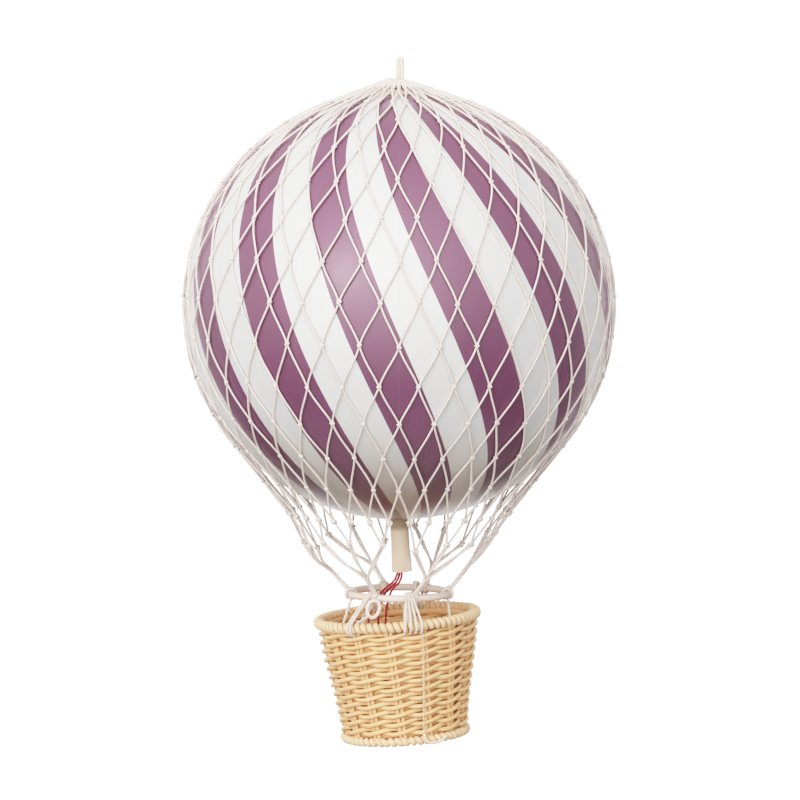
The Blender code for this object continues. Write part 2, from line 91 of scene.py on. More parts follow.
# Stripes
STRIPE_COUNT = 13
STRIPE_PHASE = 0.245
STRIPE_WIDTH = 0.50
STRIPE_SLANT = 0.455
PAINT_TIP = (-0.094, -0.019)

# Net
NET_COLUMNS = 36
NET_STEP = tau / NET_COLUMNS
NET_TOP_LATITUDE = radians(70.0)
NET_GATHER_LATITUDE = radians(81.0)
NET_ROWS = 13
NET_RADIUS = 0.1009
MESH_SIDE = 0.0208
CROWN_RISE = 0.0052
CROWN_FOOT_RADIUS = 0.0312
TWINE_RADIUS = 0.00050
STRAND_BOW = 0.00045
STRAND_LIFT = 0.00025
LAST_KNOT_GROWTH = 1.35
GATHERED_CORDS = ((-0.6, 0.0), (0.6, 0.0), (0.0, 0.42), (1.6, 0.80))
COIL_TURNS = 14
FOOT_COUNT = 6
FOOT_FIRST_AZIMUTH = radians(-30.0)
FOOT_RING_AZIMUTHS = tuple(radians(a) for a in (-28.0, 18.0, 96.0, 147.0, 197.0, 268.0))
FOOT_JOIN_DISTANCE = 0.0180
FOOT_MERGE = (0.0308, -0.2415)
WHIPPING_WIDTH = 0.0034

# Hanging loop
LOOP_CORD = 0.00110
LOOP_HALF_WIDTH = 0.00090
LOOP_ASIDE = 0.0005
LOOP_TOP_Z = -0.0009
LOOP_LENGTH = 0.0240
LOOP_KNOT_Z = -0.0252

# Basket ties and cord
TIE_CORD = 0.00070
TIE_PITCH = 0.0028
TIE_AZIMUTHS = tuple(radians(a) for a in (-34.0, 11.0, 80.0, 160.0, 200.0, 280.0))
BASKET_CORD_ROUTE = (
    (17.0, 0.0388, -0.2668), (17.5, 0.0379, -0.2755), (17.0, 0.0359, -0.2865), (17.0, 0.0338, -0.2970),
    (16.5, 0.0322, -0.3070), (16.5, 0.0314, -0.3140), (17.0, 0.0317, -0.3190),
)
CORD_END_ROUTE = (
    (16.5, 0.0312, -0.3145), (17.5, 0.0314, -0.3172), (20.0, 0.0312, -0.3188), (26.0, 0.0311, -0.3192),
    (33.0, 0.0312, -0.3186), (39.0, 0.0311, -0.3168),
)

# Neck sleeve: (z, half width, half depth, drift towards +X)
SLEEVE_LEVELS = (
    (-0.2140, 0.0044, 0.0044, -0.0001), (-0.2170, 0.0044, 0.0043, 0.0), (-0.2290, 0.0043, 0.0038, 0.0006),
    (-0.2413, 0.0047, 0.0034, 0.0014),
)
SLEEVE_WALL = 0.00035
SLEEVE_SIDES = 64

# Red lines
RED_LINE_RADIUS = 0.0005
RED_LINE_ROUTES = (
    (
        (-0.0003, -0.0006, -0.2330), (-0.0006, -0.0008, -0.2408), (-0.0022, -0.0014, -0.2456),
        (-0.0062, -0.0022, -0.2490), (-0.0092, -0.0028, -0.2522), (-0.0129, -0.0032, -0.2580),
        (-0.0147, -0.0034, -0.2680), (-0.0151, -0.0034, -0.2850), (-0.0148, -0.0030, -0.3010),
    ),
    (
        (0.0006, 0.0008, -0.2330), (0.0004, 0.0009, -0.2410), (-0.0008, 0.0008, -0.2458),
        (-0.0036, 0.0006, -0.2488), (-0.0068, 0.0004, -0.2520), (-0.0095, 0.0002, -0.2585),
        (-0.0099, 0.0000, -0.2700), (-0.0103, -0.0002, -0.2860), (-0.0108, -0.0004, -0.3040),
    ),
    (
        (0.0016, -0.0006, -0.2330), (0.0014, -0.0007, -0.2410), (0.0004, -0.0010, -0.2462),
        (-0.0028, -0.0016, -0.2492), (-0.0046, -0.0022, -0.2530), (-0.0061, -0.0028, -0.2600),
        (-0.0063, -0.0032, -0.2700), (-0.0062, -0.0036, -0.2850), (-0.0066, -0.0036, -0.2980),
    ),
)

# ---- camera, light, stage

VIEW_CENTRE = Vector((0.0004, 0.0, -0.1606))
VIEW_ELEVATION = radians(3.8)
VIEW_DISTANCE = 1.60
VIEW_HEIGHT = 0.3756
SENSOR_WIDTH = 36.0
FLOOR_Z = -1.60
STAGE_RADII = (0.6, 1.3)
WINDOW_WAY = (-0.20, -0.93, 0.31)
WINDOW_STRENGTH = 1.50
WALL_STRENGTH = 1.6
KEY_PLACE = (-1.10, -1.90, 0.62)
KEY_SIZE = 0.75
KEY_POWER = 5.0
KEY_COLOUR = (1.0, 0.985, 0.96)


def place_camera():
    data = bpy.data.cameras.new("camera")
    data.sensor_width = SENSOR_WIDTH
    data.lens = SENSOR_WIDTH * VIEW_DISTANCE / VIEW_HEIGHT
    data.clip_start = 0.05
    camera = add_object("camera", data)
    back = Vector((0.0, -cos(VIEW_ELEVATION), sin(VIEW_ELEVATION)))
    camera.location = VIEW_CENTRE + VIEW_DISTANCE * back
    camera.rotation_euler = (pi / 2 - VIEW_ELEVATION, 0.0, 0.0)
    bpy.context.scene.camera = camera


def add_key_light():
    data = bpy.data.lights.new("key", "AREA")
    data.shape = "DISK"
    data.size = KEY_SIZE
    data.energy = KEY_POWER
    data.color = KEY_COLOUR
    light = add_object("key", data)
    light.location = KEY_PLACE
    aim = Vector((0.0, 0.0, SEAM_Z)) - Vector(KEY_PLACE)
    light.rotation_euler = aim.to_track_quat("-Z", "Y").to_euler()


def node(tree, kind, inputs=None, **settings):
    """A new node with its settings and its inputs, each a value or another node's output."""
    made = tree.nodes.new(kind)
    for key, value in settings.items():
        setattr(made, key, value)
    for key, value in (inputs or {}).items():
        if isinstance(value, bpy.types.NodeSocket):
            tree.links.new(value, made.inputs[key])
        else:
            made.inputs[key].default_value = value
    return made


def maths(tree, operation, *values):
    return node(tree, "ShaderNodeMath", dict(enumerate(values)), operation=operation).outputs[0]


def times(tree, value, factor, more=0.0):
    """value * factor + more"""
    return maths(tree, "MULTIPLY_ADD", value, factor, more)


def vector_maths(tree, operation, *values):
    made = node(tree, "ShaderNodeVectorMath", dict(enumerate(values)), operation=operation)
    return made.outputs["Value" if operation in ("DOT_PRODUCT", "LENGTH") else "Vector"]


def coordinates(tree, kind):
    return node(tree, "ShaderNodeTexCoord").outputs[kind]


def parts_of(tree, vector):
    return node(tree, "ShaderNodeSeparateXYZ", {0: vector}).outputs


def combined(tree, x, y=0.0, z=0.0):
    return node(tree, "ShaderNodeCombineXYZ", {0: x, 1: y, 2: z}).outputs[0]


def ramp(tree, value, low, high, to_low=0.0, to_high=1.0, smooth=False):
    """The value's range from low to high, mapped to another and held beyond its ends."""
    inputs = {"Value": value, "From Min": low, "From Max": high, "To Min": to_low, "To Max": to_high}
    kind = "SMOOTHSTEP" if smooth else "LINEAR"
    return node(tree, "ShaderNodeMapRange", inputs, interpolation_type=kind).outputs["Result"]


def noise(tree, vector, scale, detail, **more):
    inputs = {"Vector": vector, "Scale": scale, "Detail": detail, **more}
    return node(tree, "ShaderNodeTexNoise", inputs).outputs["Fac"]


def light_the_world():
    """A white wall behind the object, and a soft room with a wide window in front on the left."""
    world = bpy.data.worlds.new("studio")
    bpy.context.scene.world = world
    world.use_nodes = True
    tree = world.node_tree
    background = tree.nodes["Background"]
    way = coordinates(tree, "Generated")
    x, y, z = parts_of(tree, way)
    above = ramp(tree, z, -0.75, 0.30, 0.06, 1.0, smooth=True)
    room = maths(tree, "MULTIPLY", above, times(tree, x, -0.14, 0.70))
    towards = vector_maths(tree, "DOT_PRODUCT", way, WINDOW_WAY)
    window = maths(tree, "POWER", maths(tree, "MAXIMUM", towards, 0.0), 3.0)
    room = times(tree, window, WINDOW_STRENGTH, room)
    behind = ramp(tree, y, 0.60, 0.95, smooth=True)
    level = ramp(tree, behind, 0.0, 1.0, room, WALL_STRENGTH)
    tree.links.new(level, background.inputs["Strength"])
    background.inputs["Color"].default_value = (1.0, 1.0, 1.0, 1.0)


def set_film():
    """A gentle S-curve, as a camera's picture style gives."""
    view = bpy.context.scene.view_settings
    view.view_transform = "Standard"
    view.use_curve_mapping = True
    curve = view.curve_mapping.curves[3]
    for place_at in ((0.07, 0.056), (0.18, 0.185), (0.42, 0.48), (0.66, 0.70), (0.85, 0.82)):
        curve.points.new(*place_at)
    curve.points[-1].location = (1.0, 0.875)
    view.curve_mapping.extend = "EXTRAPOLATED"
    view.curve_mapping.use_clip = False
    view.curve_mapping.update()


def make_stage():
    """A round pale floor far below the hanging object."""
    sides = 120
    verts = [Vector((0.0, 0.0, FLOOR_Z))]
    for radius in STAGE_RADII:
        verts += circle(radius, FLOOR_Z, sides)
    faces = []
    for k in range(sides):
        near, following = 1 + k, 1 + (k + 1) % sides
        faces.append((0, near, following))
        faces.append((near, sides + near, sides + following, following))
    material, tree, shader = new_material("floor_paint", roughness=0.8)
    grain = node(tree, "ShaderNodeTexNoise", {"Scale": 30.0, "Detail": 4.0}).outputs["Fac"]
    colour = mix_colours(tree, grain, (0.40, 0.385, 0.37), (0.44, 0.425, 0.41))
    tree.links.new(colour, shader.inputs["Base Color"])
    mesh = new_mesh("floor", verts, faces)
    mesh.materials.append(material)
    add_object("floor", mesh)


# ---- shapes

def around(radius, azimuth, z):
    """The point at a radius, an azimuth from the front and a height."""
    return Vector((radius * sin(azimuth), -radius * cos(azimuth), z))


def outward(azimuth):
    return around(1.0, azimuth, 0.0)


def circle(radius, z, count=72):
    return [around(radius, tau * k / count, z) for k in range(count)]


def turned(turn, first, second):
    """The direction at a turn from the first direction towards the second."""
    return cos(turn) * first + sin(turn) * second


def round_hoop(radius, z, reach, turn, azimuth):
    """A point on a level hoop's section, at a reach and a turn up from its outer side."""
    return around(radius + reach * cos(turn), azimuth, z + reach * sin(turn))


def up_along(normal):
    """The direction in a surface that climbs most steeply."""
    return normal.cross(UP.cross(normal)).normalized()


def smooth_route(points, spacing):
    """Evenly spaced points on a Catmull-Rom curve through the route's own points."""
    points = [Vector(p) for p in points]
    ends = [2 * points[0] - points[1]] + points + [2 * points[-1] - points[-2]]
    fine = []
    for a, b, c, d in zip(ends, ends[1:], ends[2:], ends[3:]):
        for step in range(20):
            t = step / 20
            fine.append(
                0.5 * (2 * b + (c - a) * t + (2 * a - 5 * b + 4 * c - d) * t * t
                       + (3 * b - a - 3 * c + d) * t ** 3)
            )
    fine.append(points[-1])
    return even_points(fine, spacing)


def even_points(fine, spacing):
    """The same line, with its points evenly spaced."""
    length = sum((q - p).length for p, q in zip(fine, fine[1:]))
    count = max(2, round(length / spacing))
    result = [fine[0]]
    walked = 0.0
    for p, q in zip(fine, fine[1:]):
        step = (q - p).length
        while len(result) < count and walked + step >= length * len(result) / count:
            result.append(p.lerp(q, (length * len(result) / count - walked) / max(step, 1e-9)))
        walked += step
    result.append(fine[-1])
    return result


def even_loop(line, spacing):
    """A closed line, with its points evenly spaced."""
    return even_points(line + line[:1], spacing)[:-1]


def frames_along(points, closed=False, up=None):
    """(point, normal, binormal) along a line, its normal carried along without twisting.

    up is a starting direction, or a list with one direction for each point, which the normal follows.
    """
    count = len(points)
    result = []
    normal = None
    for i, point in enumerate(points):
        before = points[i - 1] if i or closed else point
        after = points[(i + 1) % count] if i + 1 < count or closed else point
        tangent = (after - before).normalized()
        if isinstance(up, list):
            normal = up[i]
        elif normal is None:
            normal = up or tangent.orthogonal()
        normal = (normal - normal.dot(tangent) * tangent).normalized()
        result.append((point, normal, tangent.cross(normal)))
    return result


class Tubes:
    """Many tubes collected in one mesh, each with lengthwise UVs and a tone of its own.

    U is the length along a tube in centimetres and V goes once round it.
    """

    def __init__(self):
        self.verts = []
        self.faces = []
        self.uvs = []
        self.tones = []

    def add(self, points, radius, sides=8, closed=False, up=None, flat=1.0, tone=0.5, start=0.0):
        """radius is one number or one for each point; flat shrinks the section along its normal."""
        base = len(self.verts)
        radii = radius if isinstance(radius, list) else [radius] * len(points)
        lengths = [start]
        for p, q in zip(points, points[1:] + points[:1]):
            lengths.append(lengths[-1] + 100 * (q - p).length)
        for (point, normal, binormal), size in zip(frames_along(points, closed, up), radii):
            for k in range(sides):
                turn = tau * k / sides
                offset = flat * cos(turn) * normal + sin(turn) * binormal
                self.verts.append(point + size * offset)
                self.tones.append(tone)
        count = len(points)
        for i in range(count if closed else count - 1):
            row = base + i * sides
            following = base + (i + 1) % count * sides
            for k in range(sides):
                other = (k + 1) % sides
                self.faces.append((row + k, row + other, following + other, following + k))
                low, high = k / sides, (k + 1) / sides
                u, v = lengths[i], lengths[i + 1]
                self.uvs += [(u, low), (u, high), (v, high), (v, low)]
        if not closed:
            self.faces.append(tuple(base + k for k in reversed(range(sides))))
            self.uvs += [(lengths[0], k / sides) for k in range(sides)]
            last = base + (count - 1) * sides
            self.faces.append(tuple(last + k for k in range(sides)))
            self.uvs += [(lengths[count - 1], k / sides) for k in range(sides)]

    def rope(self, points, radius, plies=3, pitch=0.0035, closed=False, up=None, tone=0.5, sides=6):
        """A laid cord: plies that wind round its centreline."""
        spread = radius * (0.50 if plies == 2 else 0.52)
        strand = radius - spread * 0.96
        length = sum((q - p).length for p, q in zip(points, points[1:]))
        if closed:
            length += (points[0] - points[-1]).length
            turns = max(1, round(length / pitch))
            pitch = length / turns
        lines = [[] for _ in range(plies)]
        travelled = 0.0
        previous = points[0]
        for point, normal, binormal in frames_along(points, closed, up):
            travelled += (point - previous).length
            previous = point
            for ply, line in enumerate(lines):
                turn = tau * (travelled / pitch + ply / plies)
                line.append(point + spread * turned(turn, normal, binormal))
        for line in lines:
            self.add(line, strand, sides, closed, tone=tone + random.uniform(-0.1, 0.1))

    def object(self, name, material):
        mesh = new_mesh(name, self.verts, self.faces)
        layer = mesh.uv_layers.new(name="UVMap")
        layer.data.foreach_set("uv", [x for uv in self.uvs for x in uv])
        tone = mesh.attributes.new("tone", "FLOAT", "POINT")
        tone.data.foreach_set("value", self.tones)
        mesh.shade_smooth()
        mesh.set_sharp_from_angle(angle=radians(60))
        return place(name, mesh, (material,))


def add_object(name, data):
    item = bpy.data.objects.new(name, data)
    bpy.context.collection.objects.link(item)
    return item


def new_mesh(name, verts, faces):
    mesh = bpy.data.meshes.new(name)
    mesh.from_pydata([tuple(v) for v in verts], [], faces)
    return mesh


def grid_faces(rows, columns, flipped):
    """The quads of a grid that closes on itself both ways."""
    faces = []
    for i in range(rows):
        low, high = i * columns, (i + 1) % rows * columns
        for j in range(columns):
            other = (j + 1) % columns
            quad = (low + j, low + other, high + other, high + j)
            faces.append(quad[::-1] if flipped else quad)
    return faces


def place(name, mesh, materials):
    for key in materials:
        mesh.materials.append(MATERIALS[key])
    item = add_object(name, mesh)
    return item


def knot_line(place_at, normal, up, size, depth):
    """A small overhand knot's closed line, flat against the surface."""
    side = normal.cross(up).normalized()
    points = []
    for k in range(22):
        t = tau * k / 22
        x = sin(t) + 2 * sin(2 * t)
        y = cos(t) - 2 * cos(2 * t)
        z = -sin(3 * t)
        points.append(place_at + size * (x * side + y * up) / 3 + depth * z * normal)
    return points


# ---- materials

CREASE_COLOUR = (0.30, 0.26, 0.25)
# Painted shade: the tint that darkens the ball's paint towards its bottom.
BOTTOM_SHADE_TINT = (0.55, 0.46, 0.41)
NECK_BROWN_COLOUR = (0.42, 0.30, 0.19)
SLEEVE_TOP_BROWN = (0.36, 0.24, 0.15)
GLUE_MARK_PLACE = (0.0052, -0.0018, -0.2378)
GLUE_MARK_COLOUR = (0.92, 0.86, 0.84)


def new_material(name, roughness=0.5, **sockets):
    material = bpy.data.materials.new(name)
    material.use_nodes = True
    tree = material.node_tree
    shader = tree.nodes["Principled BSDF"]
    shader.inputs["Roughness"].default_value = roughness
    for key, value in sockets.items():
        shader.inputs[key.replace("_", " ")].default_value = value
    return material, tree, shader


def mix_colours(tree, factor, first, second, blend="MIX"):
    made = node(tree, "ShaderNodeMix", data_type="RGBA", blend_type=blend)
    for socket, value in zip((made.inputs[0], made.inputs[6], made.inputs[7]), (factor, first, second)):
        if isinstance(value, bpy.types.NodeSocket):
            tree.links.new(value, socket)
        elif isinstance(value, tuple):
            socket.default_value = (*value, 1.0)
        else:
            socket.default_value = value
    return made.outputs[2]


def add_bump(tree, shader, height, distance, strength=1.0):
    bump = node(tree, "ShaderNodeBump", {"Height": height, "Distance": distance, "Strength": strength})
    tree.links.new(bump.outputs["Normal"], shader.inputs["Normal"])


def paint_material(name, light, dark, roughness):
    """Satin lacquer over brushed paint, with faint panel lines, painted shade low down and browner paint
    round the neck.
    """
    material, tree, shader = new_material(
        name, Coat_Weight=0.8, Coat_Roughness=0.42, Coat_IOR=1.85, Specular_IOR_Level=0.6
    )
    centred = vector_maths(tree, "ADD", coordinates(tree, "Object"), (0.0, 0.0, -SEAM_Z))
    x, y, z = parts_of(tree, centred)
    azimuth = maths(tree, "ARCTAN2", x, times(tree, y, -1.0))
    height = times(tree, z, 1.0 / BALL_RADIUS)
    streaks = noise(tree, combined(tree, times(tree, azimuth, 38.0), height), 1.6, 5.0)
    blotches = noise(tree, centred, 26.0, 3.0)
    grain = noise(tree, centred, 900.0, 2.0)
    wear = times(tree, streaks, 0.65, times(tree, blotches, 0.35))
    colour = mix_colours(tree, wear, dark, light)
    panel = maths(tree, "PINGPONG", times(tree, azimuth, 2 * STRIPE_COUNT / tau), 0.5)
    crease = ramp(tree, panel, 0.0, 0.022, 1.0, 0.0, smooth=True)
    colour = mix_colours(tree, times(tree, crease, 0.10), colour, CREASE_COLOUR)
    # Painted shade: the paint grows darker towards the bottom of the ball, where less light falls.
    painted_bottom_shade = ramp(tree, height, -0.42, -0.95, smooth=True)
    colour = mix_colours(tree, painted_bottom_shade, colour, BOTTOM_SHADE_TINT, "MULTIPLY")
    # The paint is browner in a ring round the neck hole, on the lower half only.
    reach = vector_maths(tree, "LENGTH", vector_maths(tree, "MULTIPLY", centred, (1.0, 1.0, 0.0)))
    neck_brown = ramp(tree, times(tree, blotches, 0.006, reach), 0.0085, 0.0135, 0.65, 0.0)
    neck_brown = maths(tree, "MULTIPLY", neck_brown, maths(tree, "LESS_THAN", height, 0.0))
    colour = mix_colours(tree, neck_brown, colour, NECK_BROWN_COLOUR)
    tree.links.new(colour, shader.inputs["Base Color"])
    rough = ramp(tree, wear, 0.3, 0.7, roughness + 0.07, roughness - 0.05)
    tree.links.new(rough, shader.inputs["Roughness"])
    relief = times(tree, streaks, 0.5, times(tree, grain, 0.22))
    relief = maths(tree, "SUBTRACT", relief, times(tree, crease, 0.25))
    add_bump(tree, shader, relief, 0.00010, 0.5)
    return material


def tube_surface(tree):
    """The length along a tube in centimetres, the way round it from 0 to 1, and the tube's own tone."""
    along, across, _ = parts_of(tree, coordinates(tree, "UV"))
    return along, across, node(tree, "ShaderNodeAttribute", attribute_name="tone").outputs["Fac"]


def twine_material(name, light, dark, lay=1.1):
    """Laid cotton: slanting grooves, one every lay millimetres, between its plies, and fine fibres."""
    material, tree, shader = new_material(name, 0.86, Sheen_Weight=0.25, Sheen_Roughness=0.5)
    along, across, tone = tube_surface(tree)
    turn = times(tree, along, 10.0 / lay, times(tree, across, 2.0))
    ply = times(tree, maths(tree, "SINE", times(tree, turn, tau)), 0.5, 0.5)
    fibres = noise(tree, combined(tree, times(tree, turn, 2.0), times(tree, along, 14.0)), 4.0, 4.0)
    # The colour darkens in the grooves between the plies: painted shade; the fibres and the tone are the
    # twine's own.
    shade = times(tree, ply, 0.45, times(tree, fibres, 0.35, times(tree, tone, 0.4)))
    colour = mix_colours(tree, maths(tree, "MINIMUM", shade, 1.0), dark, light)
    tree.links.new(colour, shader.inputs["Base Color"])
    relief = times(tree, ply, 0.75, times(tree, fibres, 0.35))
    add_bump(tree, shader, relief, 0.00018, 0.7)
    return material


def cane_material(name, light, middle, dark):
    """Split cane: long fibres, small dark pores and a tone that changes from strand to strand."""
    material, tree, shader = new_material(name)
    along, across, tone = tube_surface(tree)
    shift = times(tree, tone, 60.0)
    fibre_place = combined(tree, times(tree, along, 1.3, shift), times(tree, across, 7.0), shift)
    fibres = noise(tree, fibre_place, 2.4, 6.0, Roughness=0.6)
    patches = noise(tree, combined(tree, times(tree, along, 0.8, shift), 0.0, shift), 1.5, 2.0)
    blend = times(tree, tone, 0.50, times(tree, patches, 0.55))
    pores = ramp(tree, fibres, 0.58, 0.74)
    colour = mix_colours(tree, blend, middle, light)
    colour = mix_colours(tree, times(tree, pores, 0.55), colour, dark)
    tree.links.new(colour, shader.inputs["Base Color"])
    tree.links.new(ramp(tree, fibres, 0.3, 0.7, 0.39, 0.59), shader.inputs["Roughness"])
    add_bump(tree, shader, maths(tree, "SUBTRACT", 1.0, fibres), 0.00018, 0.8)
    return material


def paper_material(name, light, dark):
    """Thin kraft paper with fibres and soft creases."""
    material, tree, shader = new_material(name, 0.72, Specular_IOR_Level=0.3)
    place_at = coordinates(tree, "Object")
    fibres = noise(tree, place_at, 1400.0, 4.0)
    soft = noise(tree, place_at, 160.0, 3.0)
    shade = times(tree, fibres, 0.5, times(tree, soft, 0.5))
    tree.links.new(mix_colours(tree, shade, dark, light), shader.inputs["Base Color"])
    add_bump(tree, shader, times(tree, soft, 0.8, times(tree, fibres, 0.2)), 0.0004, 0.7)
    return material


def sleeve_material(name, light, dark):
    """The same paper, browner at its top just under the ball's hole, and with a pale glue mark near the
    mouth.
    """
    material = paper_material(name, light, dark)
    tree = material.node_tree
    base = tree.nodes["Principled BSDF"].inputs["Base Color"]
    plain = base.links[0].from_socket
    place_at = coordinates(tree, "Object")
    uneven = times(tree, noise(tree, place_at, 420.0, 3.0), 0.0030, -0.0015)
    height = maths(tree, "ADD", parts_of(tree, place_at)["Z"], uneven)
    # The paper is browner over the top of the sleeve, just under the ball.
    top_brown = ramp(tree, height, -0.2224, -0.2200, 0.0, 0.70)
    colour = mix_colours(tree, top_brown, plain, SLEEVE_TOP_BROWN)
    away = vector_maths(tree, "SUBTRACT", place_at, GLUE_MARK_PLACE)
    far = vector_maths(tree, "LENGTH", vector_maths(tree, "MULTIPLY", away, (1.0, 0.7, 0.42)))
    mark = ramp(tree, maths(tree, "ADD", far, uneven), 0.0010, 0.0020, 0.85, 0.0)
    tree.links.new(mix_colours(tree, mark, colour, GLUE_MARK_COLOUR), base)
    return material


MATERIALS = {}


def make_materials():
    MATERIALS.update({
        "white": paint_material("white_lacquer", (0.84, 0.835, 0.82), (0.80, 0.795, 0.78), 0.36),
        "purple": paint_material("purple_lacquer", (0.252, 0.092, 0.176), (0.215, 0.075, 0.148), 0.30),
        "inside": paper_material("inside_pulp", (0.55, 0.48, 0.40), (0.45, 0.38, 0.30)),
        "twine": twine_material("net_twine_cotton", (0.95, 0.865, 0.805), (0.85, 0.74, 0.67)),
        "loop": twine_material("loop_cord_cotton", (0.96, 0.89, 0.77), (0.79, 0.69, 0.56)),
        "white_cord": twine_material("white_cord_cotton", (0.96, 0.88, 0.80), (0.87, 0.77, 0.67)),
        "cream_cord": twine_material("basket_cord_cotton", (0.95, 0.84, 0.68), (0.84, 0.70, 0.52)),
        "red": twine_material("red_cord_cotton", (0.66, 0.060, 0.095), (0.34, 0.018, 0.035), lay=0.9),
        "paper": sleeve_material("neck_paper_tan", (0.90, 0.76, 0.62), (0.80, 0.65, 0.50)),
        "card": paper_material("band_card_grey", (0.62, 0.52, 0.38), (0.50, 0.41, 0.29)),
        "ring": cane_material("ring_cane_pale", (0.93, 0.82, 0.75), (0.87, 0.74, 0.66), (0.62, 0.47, 0.38)),
        "rim": cane_material("rim_cane_pale", (0.94, 0.73, 0.50), (0.86, 0.61, 0.37), (0.55, 0.33, 0.16)),
        "wall": cane_material(
            "wall_cane_natural", (0.95, 0.68, 0.41), (0.86, 0.55, 0.28), (0.50, 0.32, 0.16)
        ),
        "wood": cane_material(
            "washer_wood_grain", (0.66, 0.50, 0.31), (0.50, 0.35, 0.20), (0.30, 0.19, 0.10)
        ),
    })


# ---- ball

def stripe_azimuth(cut, latitude):
    """Where a stripe's edge crosses a latitude; the paint's own pole is tipped a little."""
    base = tau * (cut - STRIPE_PHASE) / STRIPE_COUNT
    steep = max(-1.75, min(1.75, tan(latitude)))
    forward, aside = PAINT_TIP
    azimuth = base - STRIPE_SLANT * latitude
    for _ in range(5):
        painted = latitude - forward * cos(azimuth) - aside * sin(azimuth)
        turn = steep * (aside * cos(azimuth) - forward * sin(azimuth))
        azimuth = base - STRIPE_SLANT * painted - turn
    return azimuth


def shell_half(name, node_name, upper):
    """Half of the ball, on a grid that follows the slanting stripes, so that each has clean edges."""
    side = 1.0 if upper else -1.0
    hole = CROWN_HOLE_RADIUS if upper else NECK_HOLE_RADIUS
    inner_radius = BALL_RADIUS - SHELL_WALL
    outer_steps, inner_steps, band_cuts = 40, 12, 6
    levels = []
    for step in range(outer_steps + 1):
        levels.append((BALL_RADIUS, acos(hole / BALL_RADIUS) * step / outer_steps))
    for step in range(inner_steps, -1, -1):
        levels.append((inner_radius, acos(hole / inner_radius) * step / inner_steps))
    cuts = []
    for stripe in range(STRIPE_COUNT):
        for k in range(band_cuts):
            cuts.append((stripe - 0.5 * STRIPE_WIDTH + STRIPE_WIDTH * k / band_cuts, True))
        for k in range(band_cuts):
            cuts.append((stripe + 0.5 * STRIPE_WIDTH + (1 - STRIPE_WIDTH) * k / band_cuts, False))
    verts = []
    slots = []
    for row, (radius, latitude) in enumerate(levels):
        latitude *= side
        for cut, purple in cuts:
            azimuth = stripe_azimuth(cut, latitude)
            verts.append(round_hoop(0.0, SEAM_Z, radius, latitude, azimuth))
            slots.append(int(purple) if row < outer_steps else 2)
    mesh = new_mesh(name, verts, grid_faces(len(levels), len(cuts), flipped=not upper))
    mesh.shade_smooth()
    mesh.set_sharp_from_angle(angle=radians(50))
    normals = []
    centre = Vector((0.0, 0.0, SEAM_Z))
    for polygon in mesh.polygons:
        for index in polygon.vertices:
            out = (mesh.vertices[index].co - centre).normalized()
            normals.append(out if slots[polygon.index] < 2 else polygon.normal.copy())
    mesh.normals_split_custom_set([tuple(n) for n in normals])
    item = place(name, mesh, ("white", "purple", "inside"))
    mesh.polygons.foreach_set("material_index", slots)
    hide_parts(node_name)
    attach(item, "envelope")


# ---- net

def hanging_line():
    """Where the net leaves the ball: its tangent latitude, and the fall (r, z) of the straight part."""
    target_z = RING_Z + RING_SECTION - SEAM_Z
    distance = hypot(RING_RADIUS, target_z)
    latitude = atan2(target_z, RING_RADIUS) + acos(NET_RADIUS / distance)
    return latitude, (sin(latitude), -cos(latitude))


TANGENT_LATITUDE, FALL = hanging_line()
TANGENT_LENGTH = NET_RADIUS * (pi / 2 - TANGENT_LATITUDE)


def on_net(length, azimuth, lift=0.0):
    """The point and the outward normal at a length down the net's profile from the pole."""
    if length <= TANGENT_LENGTH:
        latitude = pi / 2 - length / NET_RADIUS
        radius = (NET_RADIUS + lift) * cos(latitude)
        z = SEAM_Z + (NET_RADIUS + lift) * sin(latitude)
        z += crown_rise(radius, azimuth)
    else:
        latitude = TANGENT_LATITUDE
        beyond = length - TANGENT_LENGTH
        radius = (NET_RADIUS + lift) * cos(latitude) + FALL[0] * beyond
        z = SEAM_Z + (NET_RADIUS + lift) * sin(latitude) + FALL[1] * beyond
    return around(radius, azimuth, z), around(cos(latitude), azimuth, sin(latitude))


def crown_rise(radius, azimuth):
    """How far the gathered cords stand off the ball's top, a little more on the left."""
    near = max(0.0, 1 - radius / CROWN_FOOT_RADIUS)
    return (CROWN_RISE - 0.0007 * sin(azimuth)) * near ** 1.4


def net_lengths():
    """How far down the profile each row of knots lies, one mesh side apart."""
    length = NET_RADIUS * (pi / 2 - NET_TOP_LATITUDE)
    result = []
    for _ in range(NET_ROWS):
        result.append(length)
        radius = abs(on_net(length, 0.0)[0].y)
        length += sqrt(MESH_SIDE ** 2 - (radius * NET_STEP / 2) ** 2)
    return result


def net_knots(lengths):
    """Each row's knots as (length down the net, azimuth, tone), a little uneven."""
    rows = []
    for row, length in enumerate(lengths):
        loose = 0.0006 if 0 < row < len(lengths) - 1 else 0.0002
        radius = max(abs(on_net(length, 0.0)[0].y), 0.02)
        knots = []
        for column in range(NET_COLUMNS):
            azimuth = NET_STEP * (column + (0.5 if row % 2 else 0.0))
            knots.append((
                length + random.uniform(-loose, loose) * 1.3,
                azimuth + random.uniform(-loose, loose) / radius,
                random.uniform(0.3, 0.7),
            ))
        rows.append(knots)
    return rows


def add_strand(tubes, first, second, tone):
    """A strand leaves each knot steeply, so it curves a little at both ends."""
    turn = (second[1] - first[1] + pi) % tau - pi
    bow = random.uniform(-STRAND_BOW, STRAND_BOW)
    lift = random.uniform(0.0, STRAND_LIFT)
    points = []
    normals = []
    steps = 14
    for k in range(steps + 1):
        t = k / steps
        eased = 0.70 * t + 0.30 * (3 * t * t - 2 * t ** 3)
        length = first[0] + (second[0] - first[0]) * t
        place_at, normal = on_net(length, first[1] + turn * eased, lift * sin(pi * t))
        place_at += bow * sin(pi * t) * normal.cross(UP).normalized()
        points.append(place_at)
        normals.append(normal)
    tubes.add(points, TWINE_RADIUS, 7, up=normals, tone=tone, start=random.uniform(0, 1))


